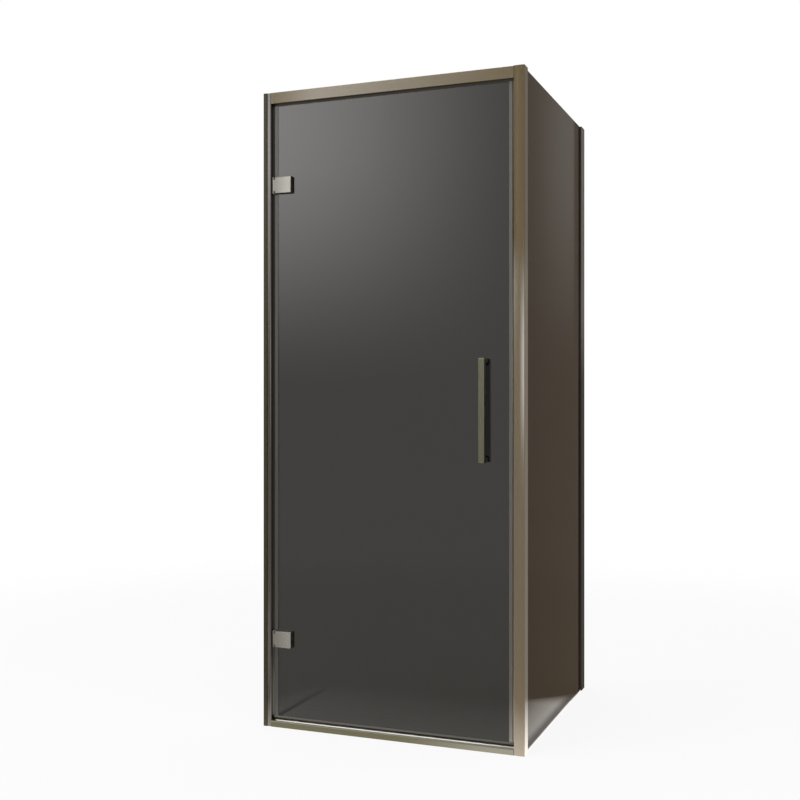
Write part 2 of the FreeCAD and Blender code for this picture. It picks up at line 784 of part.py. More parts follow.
wall_channel_left()
hinge_jamb()
header_rail()
threshold_rail()
corner_post()
corner_post_cap()
end_plugs()
strike_magnet()
side_glass()
side_gaskets()
side_adjusting_profile()
wall_channel_rear()
side_bottom_seal()
for level in ("upper", "lower"):
    hinge_fixed_half(level, "hinge_" + level)
    hinge_moving_half(level, "hinge_" + level)
door_glass()
hinge_side_seal()
magnetic_seal()
drip_seal()
handle_bar()
for level in ("upper", "lower"):
    handle_post(level, "post_" + level)
doc.recompute()

# Nothing is written unless every object is sound.
for item in doc.Objects:
    if "Invalid" in item.State or "Error" in item.State:
        raise RuntimeError("%s failed: %s" % (item.Label, item.State))
bodies = [item for item in doc.Objects if item.isDerivedFrom("PartDesign::Body")]
for body in bodies:
    if body.Shape.isNull() or not body.Shape.isValid():
        raise RuntimeError("%s has no sound shape" % body.Label)

os.makedirs("parts", exist_ok=True)
for body in bodies:
    body.Shape.exportStep("parts/%s.step" % body.Label)
    print(body.Label, len(body.Shape.Solids), round(body.Shape.Volume))
print(len(bodies), "pieces")
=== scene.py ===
"""Looks of a corner shower enclosure: smoked glass, warm nickel profiles, brushed fittings.

Lengths are in metres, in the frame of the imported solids: X runs right from the left wall, Y runs
from the door into the shower, Z runs up from the floor.
"""

import logging
import math
from dataclasses import dataclass, field
from enum import Enum

import bmesh
import bpy
from mathutils import Matrix, Vector


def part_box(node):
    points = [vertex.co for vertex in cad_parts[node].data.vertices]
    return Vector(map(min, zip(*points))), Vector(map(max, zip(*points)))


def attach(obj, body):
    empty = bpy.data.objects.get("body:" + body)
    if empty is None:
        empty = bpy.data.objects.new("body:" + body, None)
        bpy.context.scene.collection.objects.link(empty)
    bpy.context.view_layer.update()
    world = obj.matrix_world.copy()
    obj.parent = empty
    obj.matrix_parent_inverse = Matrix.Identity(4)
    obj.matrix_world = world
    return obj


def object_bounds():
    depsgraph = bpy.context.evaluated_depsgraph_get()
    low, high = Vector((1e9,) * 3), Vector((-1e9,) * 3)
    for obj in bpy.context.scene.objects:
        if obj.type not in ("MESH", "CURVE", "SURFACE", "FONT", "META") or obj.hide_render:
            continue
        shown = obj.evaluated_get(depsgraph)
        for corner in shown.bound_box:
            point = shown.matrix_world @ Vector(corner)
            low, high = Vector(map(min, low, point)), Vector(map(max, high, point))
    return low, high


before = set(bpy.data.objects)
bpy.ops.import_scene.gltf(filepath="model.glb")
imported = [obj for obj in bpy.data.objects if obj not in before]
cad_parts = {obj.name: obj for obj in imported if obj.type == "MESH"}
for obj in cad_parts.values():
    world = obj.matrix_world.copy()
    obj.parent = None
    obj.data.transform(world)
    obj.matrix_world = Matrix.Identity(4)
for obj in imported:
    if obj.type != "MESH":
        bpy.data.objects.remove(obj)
FRAME_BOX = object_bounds()

log = logging.getLogger("shower_enclosure")

DEGREES = 180 / math.pi
SAME_PLACE = 1e-6
ON_CIRCLE = 1e-5

Triple = tuple[float, float, float]
Colour = Triple
Step = tuple[float, float]
Window = tuple[float, float, float, float]


class Axis(Enum):
    """A direction of the enclosure."""

    X = "X"
    Y = "Y"
    Z = "Z"

    def stretch(self, across: float, along: float) -> Triple:
        """The scales of a pattern whose grain runs along this axis.

        Args:
            across: pattern units in a metre across the grain.
            along: pattern units in a metre along it.

        Returns:
            The scales for X, Y and Z.
        """
        return tuple(along if name == self.value else across for name in "XYZ")


class Side(Enum):
    """Where a turn is measured from: ahead of the door to the left, or behind it to the right."""

    FRONT = "front"
    REAR = "rear"


class Term:
    """A number in a shader, so that sums of sockets read as Python sums."""

    def __init__(self, shading: "Shading", socket: bpy.types.NodeSocket) -> None:
        """Keep the socket and the node tree that it belongs to."""
        self.shading = shading
        self.socket = socket

    def __add__(self, other: "Term | float") -> "Term":
        """This number plus another."""
        return self.shading.math("ADD", self, other)

    def __radd__(self, other: float) -> "Term":
        """A plain number plus this one."""
        return self.shading.math("ADD", other, self)

    def __sub__(self, other: "Term | float") -> "Term":
        """This number less another."""
        return self.shading.math("SUBTRACT", self, other)

    def __rsub__(self, other: float) -> "Term":
        """A plain number less this one."""
        return self.shading.math("SUBTRACT", other, self)

    def __mul__(self, other: "Term | float") -> "Term":
        """This number times another."""
        return self.shading.math("MULTIPLY", self, other)

    def __rmul__(self, other: float) -> "Term":
        """A plain number times this one."""
        return self.shading.math("MULTIPLY", other, self)

    def rise(self, low: float, high: float) -> "Term":
        """A soft step from 0 at one value to 1 at another.

        Args:
            low: the value where the step starts.
            high: the value where it is complete.

        Returns:
            The step as a number from 0 to 1.
        """
        ranged = self.shading.node(
            "ShaderNodeMapRange", {"interpolation_type": "SMOOTHSTEP"},
            {"Value": self, "From Min": low, "From Max": high},
        )
        return Term(self.shading, ranged.outputs["Result"])

    def between(self, start: float, full: float, fading: float, end: float) -> "Term":
        """A soft window: 0 outside, 1 in its middle.

        Args:
            start: where the rise begins.
            full: where it is complete.
            fading: where the fall begins.
            end: where it is complete.

        Returns:
            The window as a number from 0 to 1.
        """
        return self.rise(start, full) * (1.0 - self.rise(fading, end))


class Shading:
    """The node tree of one material or of the world, with the few calls that fill it."""

    def __init__(self, owner: bpy.types.Material | bpy.types.World) -> None:
        """Start an empty tree.

        Args:
            owner: the material or world whose nodes are made.
        """
        owner.use_nodes = True
        self.tree = owner.node_tree
        self.tree.nodes.clear()

    def node(self, kind: str, settings: dict | None = None,
             values: dict | None = None) -> bpy.types.Node:
        """Add one node.

        Args:
            kind: the node's type.
            settings: properties of the node, set before its sockets.
            values: socket name or number to a plain value, a Term, a socket or a node.

        Returns:
            The new node.
        """
        made = self.tree.nodes.new(kind)
        for name, value in (settings or {}).items():
            setattr(made, name, value)
        for name, value in (values or {}).items():
            source = value.socket if isinstance(value, Term) else value
            if isinstance(source, bpy.types.Node):
                source = source.outputs[0]
            if isinstance(source, bpy.types.NodeSocket):
                self.tree.links.new(source, made.inputs[name])
            else:
                made.inputs[name].default_value = source
        return made

    def math(self, operation: str, *values: "Term | float") -> Term:
        """A Math node on sockets and plain numbers.

        Args:
            operation: the Math node's operation.
            values: its inputs in order.

        Returns:
            The result.
        """
        made = self.node("ShaderNodeMath", {"operation": operation}, dict(enumerate(values)))
        return Term(self, made.outputs[0])

    def mix_colour(self, factor: Term, low: Colour, high: Colour) -> bpy.types.NodeSocket:
        """A colour between two, by a factor from 0 to 1.

        Args:
            factor: how much of the second colour shows.
            low: the colour at 0.
            high: the colour at 1.

        Returns:
            The mixed colour's socket.
        """
        made = self.node(
            "ShaderNodeMix", {"data_type": "RGBA"},
            {"Factor": factor, "A": (*low, 1.0), "B": (*high, 1.0)},
        )
        return made.outputs["Result"]

    def toned(self, factor: Term, colour: Colour, spread: float) -> bpy.types.NodeSocket:
        """A colour that varies a little about its own tone.

        Args:
            factor: the pattern that it follows, from 0 to 1.
            colour: the colour in the middle.
            spread: how much darker and lighter it gets, as a share.

        Returns:
            The varied colour's socket.
        """
        return self.mix_colour(factor, shade(colour, 1 - spread), shade(colour, 1 + spread))

    def places(self, stretch: Triple) -> bpy.types.Node:
        """Object coordinates, scaled along each axis.

        Args:
            stretch: how many pattern units lie in a metre of X, Y and Z.

        Returns:
            The mapping node.
        """
        coordinates = self.node("ShaderNodeTexCoord")
        return self.node(
            "ShaderNodeMapping", None, {"Vector": coordinates.outputs["Object"], "Scale": stretch}
        )

    def parts(self, vector: bpy.types.NodeSocket | bpy.types.Node) -> dict[Axis, Term]:
        """The numbers that make up a vector, by axis."""
        made = self.node("ShaderNodeSeparateXYZ", None, {"Vector": vector})
        return {axis: Term(self, made.outputs[axis.value]) for axis in Axis}

    def coordinate(self, axis: Axis) -> Term:
        """The piece's own coordinate along an axis, in metres."""
        return self.parts(self.places((1.0, 1.0, 1.0)))[axis]

    def length(self, across: Term, along: Term) -> Term:
        """How long a way is that goes so far across and so far along."""
        return self.math("SQRT", across * across + along * along)

    def rays(self) -> "Rays":
        """What kind of ray meets this material or world.

        Returns:
            Each kind as a number that is 1 or 0.
        """
        path = self.node("ShaderNodeLightPath")
        camera = Term(self, path.outputs["Is Camera Ray"])
        through = Term(self, path.outputs["Is Transmission Ray"])
        gloss = Term(self, path.outputs["Is Glossy Ray"])
        sharp = Term(self, path.outputs["Is Singular Ray"])
        direct = self.math("MAXIMUM", camera, through)
        return Rays(camera, direct, gloss * (1.0 - direct), sharp)

    def scaled(self, colour: bpy.types.NodeSocket, factor: Term) -> bpy.types.NodeSocket:
        """A colour times a number.

        Args:
            colour: the colour's socket.
            factor: the number.

        Returns:
            The scaled colour's socket.
        """
        made = self.node(
            "ShaderNodeVectorMath", {"operation": "SCALE"}, {"Vector": colour, "Scale": factor}
        )
        return made.outputs["Vector"]

    def lifted(self, colour: bpy.types.NodeSocket, amount: Term) -> bpy.types.NodeSocket:
        """A colour with the same number added to each of its parts.

        Args:
            colour: the colour's socket.
            amount: the number.

        Returns:
            The new colour's socket.
        """
        grey = self.node("ShaderNodeCombineXYZ", None, {"X": amount, "Y": amount, "Z": amount})
        made = self.node("ShaderNodeVectorMath", {"operation": "ADD"}, {0: colour, 1: grey})
        return made.outputs["Vector"]

    def noise(self, stretch: Triple, detail: float) -> Term:
        """Soft noise from 0 to 1 on the piece's own coordinates.

        Args:
            stretch: pattern units in a metre of X, Y and Z.
            detail: octaves of finer noise.

        Returns:
            The noise value.
        """
        made = self.node(
            "ShaderNodeTexNoise", None,
            {"Vector": self.places(stretch), "Scale": 1.0, "Detail": detail},
        )
        return Term(self, made.outputs["Fac"])

    def bump(self, height: Term, distance: float, strength: float) -> bpy.types.NodeSocket:
        """A bumped normal.

        Args:
            height: the relief from 0 to 1.
            distance: the relief's full height in metres.
            strength: how much of it shows.

        Returns:
            The normal's socket.
        """
        made = self.node(
            "ShaderNodeBump", None, {"Height": height, "Distance": distance, "Strength": strength}
        )
        return made.outputs["Normal"]

    def surface(self, shader: bpy.types.Node) -> None:
        """Send a shader to the material's or the world's output.

        Args:
            shader: the last shader node.
        """
        target = "World" if shader.type == "BACKGROUND" else "Material"
        self.node("ShaderNodeOutput" + target, None, {"Surface": shader})


@dataclass(frozen=True)
class Rays:
    """The kinds of ray that a material or the world tells apart, each 1 or 0."""

    camera: Term
    direct: Term
    mirrored: Term
    sharp: Term


def shade(colour: Colour, amount: float) -> Colour:
    """A colour made lighter or darker.

    Args:
        colour: the colour to start from.
        amount: the factor on each of its parts.

    Returns:
        The new colour, with each part between 0 and 1.
    """
    return tuple(min(1.0, part * amount) for part in colour)


@dataclass(frozen=True)
class BrushedMetal:
    """Metal with a fine grain along one axis, as drawn or brushed profiles have."""

    name: str
    colour: Colour
    grain: Axis
    roughness: float = 0.3
    grain_relief: float = 4e-6
    grain_across: float = 1800.0
    grain_along: float = 9.0
    band_wider: float = 9.0
    band_longer: float = 3.0
    cloud_across: float = 7.0
    tone_spread: float = 0.07
    tone_range: Step = (0.3, 0.7)
    tone_weights: Triple = (0.45, 0.3, 0.25)
    rough_weights: Step = (0.12, 0.08)
    relief_weights: Step = (0.7, 0.3)
    coat: float = 0.0
    coat_index: float = 1.97
    coat_roughness: float = 0.11

    def with_painted_shade(self, shading: Shading, colour: bpy.types.NodeSocket) -> bpy.types.NodeSocket:
        """The colour with the finish's painted shade; plain metal has none and leaves it as it is."""
        return colour

    def coat_weight(self, shading: Shading) -> Term | float:
        """How much lacquer the piece has; plain metal has the same everywhere."""
        return self.coat

    def material(self) -> bpy.types.Material:
        """The finish as a material.

        Returns:
            The material.
        """
        made = bpy.data.materials.new(self.name)
        shading = Shading(made)
        streaks = shading.noise(self.grain.stretch(self.grain_across, self.grain_along), 2.0)
        bands = shading.noise(self.grain.stretch(
            self.grain_across / self.band_wider, self.grain_along / self.band_longer), 1.0)
        cloud = shading.noise((self.cloud_across,) * 3, 2.0)
        by_streak, by_band, by_cloud = self.tone_weights
        tone = (by_streak * streaks + by_band * bands + by_cloud * cloud).rise(*self.tone_range)
        colour = shading.toned(tone, self.colour, self.tone_spread)
        by_streak, by_cloud = self.rough_weights
        rough = by_streak * (streaks - 0.5) + by_cloud * (cloud - 0.5) + self.roughness
        by_streak, by_band = self.relief_weights
        relief = by_streak * streaks + by_band * bands
        shader = shading.node("ShaderNodeBsdfPrincipled", None, {
            "Base Color": self.with_painted_shade(shading, colour),
            "Metallic": 1.0,
            "Roughness": rough,
            "Coat Weight": self.coat_weight(shading),
            "Coat Roughness": self.coat_roughness,
            "Coat IOR": self.coat_index,
            "Normal": shading.bump(relief, self.grain_relief, 1.0),
        })
        shading.surface(shader)
        return made


@dataclass(frozen=True)
class HingeSteel(BrushedMetal):
    """Brushed steel with painted shade towards the pin, easing to full colour towards the plate's far end."""

    painted_shade: float = 0.62
    shade_end: float = 0.03
    lit_end: float = 0.085

    def with_painted_shade(self, shading: Shading, colour: bpy.types.NodeSocket) -> bpy.types.NodeSocket:
        """The colour, with painted shade at the pin."""
        # Painted shade: the colour is scaled down near the pin and rises to full along X, for how light falls
        # across the plate
        rising = shading.coordinate(Axis.X).rise(self.shade_end, self.lit_end)
        return shading.scaled(colour, (1.0 - self.painted_shade) * rising + self.painted_shade)


@dataclass(frozen=True)
class ThinningLacquer(BrushedMetal):
    """Lacquered metal of a profile whose lacquer is thinner towards one end."""

    along: Axis = Axis.X
    thin: float = 0.3
    thin_end: float = 0.02
    full_end: float = 0.2

    def coat_weight(self, shading: Shading) -> Term | float:
        """The lacquer, thin at one end."""
        rising = shading.coordinate(self.along).rise(self.thin_end, self.full_end)
        return ((1.0 - self.thin) * rising + self.thin) * self.coat


@dataclass(frozen=True)
class HeaderMetal(ThinningLacquer):
    """Metal of the header, with painted shade on its underside, which faces away from the light: darker colour
    and no lacquer there.
    """

    underside: float = 1.865
    underside_edge: float = 0.0008
    painted_shade: float = 0.3

    def upper(self, shading: Shading) -> Term:
        """1 on the faces over the underside, 0 on it."""
        return shading.coordinate(Axis.Z).rise(self.underside, self.underside + self.underside_edge)

    def with_painted_shade(self, shading: Shading, colour: bpy.types.NodeSocket) -> bpy.types.NodeSocket:
        """The colour, darker on the underside as painted shade."""
        # Painted shade: the underside's colour is scaled down to stand in for the shadow under the rail
        return shading.scaled(colour, (1.0 - self.painted_shade) * self.upper(shading) + self.painted_shade)

    def coat_weight(self, shading: Shading) -> Term | float:
        """The lacquer, none on the underside, as part of its painted shade."""
        return super().coat_weight(shading) * self.upper(shading)


@dataclass(frozen=True)
class JambMetal(BrushedMetal):
    """Metal of the jamb, nearly bare on the side that faces the door's edge."""

    door_side: float = 0.0245
    side_edge: float = 0.0002
    bare: float = 0.12

    def coat_weight(self, shading: Shading) -> Term | float:
        """The lacquer, nearly none on the door's side."""
        beside = shading.coordinate(Axis.X).rise(self.door_side - self.side_edge, self.door_side)
        return (1.0 - (1.0 - self.bare) * beside) * self.coat


@dataclass(frozen=True)
class SillMetal(ThinningLacquer):
    """Metal of the sill, which keeps its lacquer on the nose along its upper edge."""

    nose: float = 0.0147
    nose_edge: float = 0.0008
    nose_share: float = 0.7

    def coat_weight(self, shading: Shading) -> Term | float:
        """The lacquer, thin at one end under the nose.

        Args:
            shading: the material's shading.

        Returns:
            The coat's weight.
        """
        worn = 1.0 - shading.coordinate(self.along).rise(self.thin_end, self.full_end)
        under = 1.0 - shading.coordinate(Axis.Z).rise(self.nose, self.nose + self.nose_edge)
        full = (1.0 - self.nose_share) * under + self.nose_share
        return (1.0 - (1.0 - self.thin) * (worn * under)) * full * self.coat


@dataclass(frozen=True)
class PostMetal(BrushedMetal):
    """Lacquered metal of the post, whose lacquer is thin high up, most of all beside the door."""

    thin: float = 0.12
    beside_share: float = 0.5
    left: float = 0.775
    middle: float = 0.7905
    left_inset: float = 0.002
    middle_past: float = 0.003
    low: float = 1.28
    high: float = 1.44

    def coat_weight(self, shading: Shading) -> Term | float:
        """The lacquer, thin at the top and thinner there on the door's side.

        Args:
            shading: the material's shading.

        Returns:
            The coat's weight.
        """
        beside = 1.0 - shading.coordinate(Axis.X).rise(
            self.left + self.left_inset, self.middle + self.middle_past)
        above = shading.coordinate(Axis.Z).rise(self.low, self.high)
        spread = self.beside_share * beside + (1.0 - self.beside_share)
        return (1.0 - (1.0 - self.thin) * (spread * above)) * self.coat


@dataclass(frozen=True)
class SmokedGlass:
    """Toughened grey glass: dark in its depth, with a clear mirror gloss."""

    name: str
    tint: Colour
    index: float = 1.6
    wave_across: float = 2.2
    wave_relief: float = 2e-5
    cloud_across: float = 3.74
    tone_spread: float = 0.03

    def material(self) -> bpy.types.Material:
        """The finish as a material.

        Returns:
            The material.
        """
        made = bpy.data.materials.new(self.name)
        shading = Shading(made)
        cloud = shading.noise((self.cloud_across,) * 3, 1.0)
        waves = shading.noise((self.wave_across,) * 3, 0.0)
        shader = shading.node("ShaderNodeBsdfPrincipled", None, {
            "Base Color": shading.toned(cloud, self.tint, self.tone_spread),
            "Roughness": 0.0,
            "IOR": self.index,
            "Transmission Weight": 1.0,
            "Normal": shading.bump(waves, self.wave_relief, 1.0),
        })
        shading.surface(shader)
        return made


@dataclass(frozen=True)
class Moulding:
    """Extruded rubber or moulded plastic, matt or glossy, with fine draw lines along it."""

    name: str
    colour: Colour
    draw: Axis
    roughness: float = 0.55
    relief: float = 6e-6
    line_across: float = 1500.0
    line_along: float = 12.0
    speck_across: float = 900.0
    tone_spread: float = 0.1
    tone_range: Step = (0.25, 0.75)
    tone_weights: Step = (0.5, 0.5)
    rough_weight: float = 0.15
    relief_weights: Step = (0.6, 0.4)
    clearness: float = 0.0
    coat: float = 0.0
    coat_index: float = 1.7
    coat_roughness: float = 0.08

    def material(self) -> bpy.types.Material:
        """The finish as a material.

        Returns:
            The material.
        """
        made = bpy.data.materials.new(self.name)
        shading = Shading(made)
        lines = shading.noise(self.draw.stretch(self.line_across, self.line_along), 1.0)
        specks = shading.noise((self.speck_across,) * 3, 2.0)
        by_line, by_speck = self.tone_weights
        tone = (by_line * lines + by_speck * specks).rise(*self.tone_range)
        by_line, by_speck = self.relief_weights
        relief = by_line * lines + by_speck * specks
        shader = shading.node("ShaderNodeBsdfPrincipled", None, {
            "Base Color": shading.toned(tone, self.colour, self.tone_spread),
            "Roughness": self.rough_weight * (specks - 0.5) + self.roughness,
            "Transmission Weight": self.clearness,
            "Coat Weight": self.coat,
            "Coat Roughness": self.coat_roughness,
            "Coat IOR": self.coat_index,
            "Normal": shading.bump(relief, self.relief, 1.0),
        })
        shading.surface(shader)
        return made


@dataclass
class Palette:
    """Every finish of the enclosure, each made once."""

    nickel: Colour = (0.080, 0.058, 0.021)
    sill_nickel: Colour = (0.050, 0.047, 0.021)
    # Painted shade: a darker copy of the nickel for the jamb and the rear profiles, which sit in less light
    painted_shade_nickel: Colour = (0.024, 0.018, 0.010)
    # Painted shade: a darker copy of the nickel for the left wall channel, which sits in less light
    channel_shade_nickel: Colour = (0.033, 0.030, 0.021)
    steel: Colour = (0.152, 0.148, 0.136)
    handle_nickel: Colour = (0.100, 0.101, 0.071)
    screw_steel: Colour = (0.32, 0.31, 0.29)
    smoke: Colour = (0.0160, 0.0158, 0.0160)
    dark_vinyl: Colour = (0.022, 0.020, 0.018)
    smoky_vinyl: Colour = (0.060, 0.053, 0.046)
    magnet_vinyl: Colour = (0.16, 0.145, 0.12)
    rubber: Colour = (0.018, 0.017, 0.016)
    plug_plastic: Colour = (0.11, 0.1, 0.085)
    made: dict[str, bpy.types.Material] = field(default_factory=dict)

    def get(self, finish: BrushedMetal | SmokedGlass | Moulding) -> bpy.types.Material:
        """The material of a finish, made when it is first asked for.

        Args:
            finish: the finish.

        Returns:
            Its material.
        """
        if finish.name not in self.made:
            self.made[finish.name] = finish.material()
        return self.made[finish.name]

    def post(self, left: float, right: float) -> bpy.types.Material:
        """Warm nickel of the corner post.

        Args:
            left: the post's left side.
            right: its right side.

        Returns:
            The material.
        """
        return self.get(PostMetal(
            "post_nickel", self.nickel, Axis.Z, roughness=0.6, coat=1.0, left=left,
            middle=(left + right) / 2,
        ))

    def header(self, underside: float) -> bpy.types.Material:
        """Warm nickel of the rail over the door, with painted shade on its underside.

        Args:
            underside: the height of its lower face.

        Returns:
            The material.
        """
        return self.get(HeaderMetal(
            "header_nickel", self.nickel, Axis.X, roughness=0.6, coat=0.72, underside=underside,
        ))

    def sill(self) -> bpy.types.Material:
        """Olive nickel of the rail under the door, its lacquer worn off by feet at one end."""
        return self.get(SillMetal(
            "sill_nickel", self.sill_nickel, Axis.X, roughness=0.6, coat=0.8, thin=0.25,
            thin_end=0.4, full_end=0.76,
        ))

    def jamb(self, door_side: float) -> bpy.types.Material:
        """Nickel of the jamb by the left wall, darker than the other profiles as painted shade.

        Args:
            door_side: where its face beside the door lies along X.

        Returns:
            The material.
        """
        return self.get(JambMetal(
            "jamb_nickel", self.painted_shade_nickel, Axis.Z, roughness=0.6, coat=0.6, coat_roughness=0.06,
            door_side=door_side,
        ))

    def rear(self) -> bpy.types.Material:
        """Nickel of the profiles at the back wall, darker than the front profiles as painted shade."""
        return self.get(ThinningLacquer(
            "rear_nickel", self.painted_shade_nickel, Axis.Z, roughness=0.6, coat=0.55, along=Axis.Z,
            thin=0.12, thin_end=1.0, full_end=1.3,
        ))

    def channel(self) -> bpy.types.Material:
        """Nickel of the channel on the left wall, darker than the other profiles as painted shade."""
        return self.get(BrushedMetal("channel_shade_nickel", self.channel_shade_nickel, Axis.Z, roughness=0.42))

    def hinge(self, grain: Axis) -> bpy.types.Material:
        """Brushed steel of the hinges, with painted shade towards the pin."""
        return self.get(HingeSteel(
            "hinge_steel_" + grain.value, self.steel, grain, roughness=0.26, grain_across=2600.0,
            grain_along=40.0, cloud_across=25.0,
        ))

    def handle(self) -> bpy.types.Material:
        """Olive nickel of the handle, brushed along the bar."""
        return self.get(BrushedMetal(
            "handle_nickel", self.handle_nickel, Axis.Z, roughness=0.3, cloud_across=18.0,
        ))

    def screw(self) -> bpy.types.Material:
        """Stainless steel of the screws."""
        return self.get(BrushedMetal(
            "screw_steel", self.screw_steel, Axis.Z, roughness=0.24, grain_across=4000.0,
            grain_along=1500.0, cloud_across=300.0,
        ))

    def glass(self) -> bpy.types.Material:
        """The smoked glass of both panes."""
        return self.get(SmokedGlass("smoked_glass", self.smoke))

    def dark_seal(self, draw: Axis) -> bpy.types.Material:
        """Dark smoky vinyl of the seals at the hinges and under the door."""
        return self.get(Moulding(
            "dark_seal_" + draw.value, self.dark_vinyl, draw, roughness=0.4, clearness=0.2,
            coat=0.08,
        ))

    def clear_seal(self, draw: Axis) -> bpy.types.Material:
        """Smoky clear vinyl of the seals at the post and under the side panel."""
        return self.get(Moulding(
            "smoky_seal_" + draw.value, self.smoky_vinyl, draw, roughness=0.35, clearness=0.2,
            coat=0.7,
        ))

    def gasket(self) -> bpy.types.Material:
        """Black rubber of the glazing beads and the hinge pads."""
        return self.get(Moulding("black_rubber", self.rubber, Axis.Z, roughness=0.6))

    def magnet(self) -> bpy.types.Material:
        """Dark vinyl over the magnet strip."""
        return self.get(Moulding("magnet_vinyl", self.magnet_vinyl, Axis.Z, roughness=0.5))

    def end_plastic(self) -> bpy.types.Material:
        """Grey-brown plastic of the end plugs."""
        return self.get(Moulding(
            "end_plastic", self.plug_plastic, Axis.Z, roughness=0.5, line_along=600.0,
        ))


def dress(node: str, material: bpy.types.Material) -> None:
    """Give a carried solid its finish.

    Args:
        node: the solid's name.
        material: the material for all its faces.
    """
    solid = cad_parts[node]
    solid.data.materials.clear()
    solid.data.materials.append(material)
    log.info("dressed %s in %s", node, material.name)


def new_piece(name: str, mesh: bmesh.types.BMesh, material: bpy.types.Material, body: str) -> bpy.types.Object:
    """Turn a finished bmesh into a piece that moves with a body.

    Args:
        name: the piece's name.
        mesh: its shape in the enclosure's frame. It is freed here.
        material: its finish.
        body: the body that carries it.

    Returns:
        The new object.
    """
    bmesh.ops.recalc_face_normals(mesh, faces=mesh.faces)
    data = bpy.data.meshes.new(name)
    mesh.to_mesh(data)
    mesh.free()
    data.materials.append(material)
    piece = bpy.data.objects.new(name, data)
    bpy.context.scene.collection.objects.link(piece)
    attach(piece, body)
    log.info("made %s: %d faces, on %s", name, len(data.polygons), body)
    return piece


@dataclass
class SocketScrew:
    """A screw with a round socket, turned about its own axis and set at a place."""

    head_radius: float
    head_tall: float
    shank_radius: float
    shank_long: float
    cone_tall: float = 0.0
    edge: float = 0.0002
    edge_steps: int = 3
    socket_radius: float = 0.0017
    socket_deep: float = 0.0016
    around: int = 24

    def add(self, mesh: bmesh.types.BMesh, place: Vector, way_out: Vector) -> None:
        """Add the screw to a mesh, its head's top at a place.

        Args:
            mesh: the mesh that takes it.
            place: the middle of the head's top.
            way_out: the direction that the head faces.
        """
        neck = -self.head_tall - self.cone_tall
        outline = (
            (self.head_radius, 0), (self.head_radius, -self.head_tall), (self.shank_radius, neck),
            (self.shank_radius, neck - self.shank_long), (0, neck - self.shank_long),
        )
        part = bmesh.new()
        corners = [part.verts.new((out, 0, up)) for out, up in outline]
        lines = [part.edges.new(pair) for pair in zip(corners, corners[1:])]
        bmesh.ops.spin(
            part, geom=corners + lines, cent=(0, 0, 0), axis=(0, 0, 1), angle=math.tau,
            steps=self.around, use_merge=True,
        )
        bmesh.ops.remove_doubles(part, verts=part.verts, dist=SAME_PLACE)
        rim = [edge for edge in part.edges if edge.is_boundary]
        top = bmesh.ops.contextual_create(part, geom=rim)["faces"]
        bmesh.ops.inset_region(part, faces=top, thickness=self.head_radius - self.socket_radius)
        floor = [face for face in part.faces if face.calc_center_median().length < SAME_PLACE]
        sunk = bmesh.ops.extrude_face_region(part, geom=floor)
        bmesh.ops.delete(part, geom=floor, context="FACES")
        moved = [item for item in sunk["geom"] if isinstance(item, bmesh.types.BMVert)]
        bmesh.ops.translate(part, verts=moved, vec=(0, 0, -self.socket_deep))
        head_rim = [
            edge for edge in part.edges if all(
                abs(corner.co.z) < SAME_PLACE
                and abs(corner.co.xy.length - self.head_radius) < ON_CIRCLE
                for corner in edge.verts)
        ]
        bmesh.ops.bevel(
            part, geom=head_rim, offset=self.edge, offset_type="OFFSET", segments=self.edge_steps,
            profile=0.5, affect="EDGES", material=-1,
        )
        turn = Vector((0, 0, 1)).rotation_difference(way_out).to_matrix().to_4x4()
        bmesh.ops.transform(part, matrix=Matrix.Translation(place) @ turn, verts=part.verts)
        bmesh.ops.recalc_face_normals(part, faces=part.faces)
        loose = bpy.data.meshes.new("loose_screw")
        part.to_mesh(loose)
        part.free()
        mesh.from_mesh(loose)
        bpy.data.meshes.remove(loose)


@dataclass
class FixingScrews:
    """Three small screws up a profile, near both of its ends and in the middle."""

    ends: float = 0.12
    lift: float = 0.0012
    screw: SocketScrew = field(default_factory=lambda: SocketScrew(
        head_radius=0.0038, head_tall=0.0012, shank_radius=0.0016, shank_long=0.0018))

    def mesh(self, channel: str, across: float, along: float, way_out: Vector) -> bmesh.types.BMesh:
        """The screws as one mesh.

        Args:
            channel: the solid whose height they share out.
            across: where the screwed face or the row lies along X.
            along: where it lies along Y.
            way_out: the direction that the heads face.

        Returns:
            The mesh.
        """
        low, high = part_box(channel)
        made = bmesh.new()
        for height in (low.z + self.ends, (low.z + high.z) / 2, high.z - self.ends):
            place = Vector((
                across + way_out.x * self.lift, along + way_out.y * self.lift, height))
            self.screw.add(made, place, way_out)
        return made


@dataclass
class FrontFrame:
    """The fixed metal frame of the door, from the wall channel to the corner post."""

    palette: Palette
    screws: FixingScrews = field(default_factory=FixingScrews)

    def dress_solids(self) -> None:
        """Give the profiles, plugs and magnet their finishes."""
        dress("wall_channel_left", self.palette.channel())
        dress("hinge_jamb", self.palette.jamb(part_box("hinge_jamb")[1].x))
        low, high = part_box("corner_post")
        for node in ("corner_post", "corner_post_cap"):
            dress(node, self.palette.post(low.x, high.x))
        dress("header_rail", self.palette.header(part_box("header_rail")[0].z))
        dress("threshold_rail", self.palette.sill())
        dress("jamb_end_plug", self.palette.end_plastic())
        dress("strike_magnet", self.palette.magnet())

    def add_jamb_screws(self) -> None:
        """Screws that hold the jamb in the wall channel, on the shower side."""
        channel_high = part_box("wall_channel_left")[1]
        across = (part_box("hinge_jamb")[0].x + channel_high.x) / 2
        mesh = self.screws.mesh("wall_channel_left", across, channel_high.y, Vector((0, 1, 0)))
        new_piece("jamb_fixing_screws", mesh, self.palette.screw(), "frame")

    def build(self) -> None:
        """Dress the frame and add its screws."""
        self.dress_solids()
        self.add_jamb_screws()


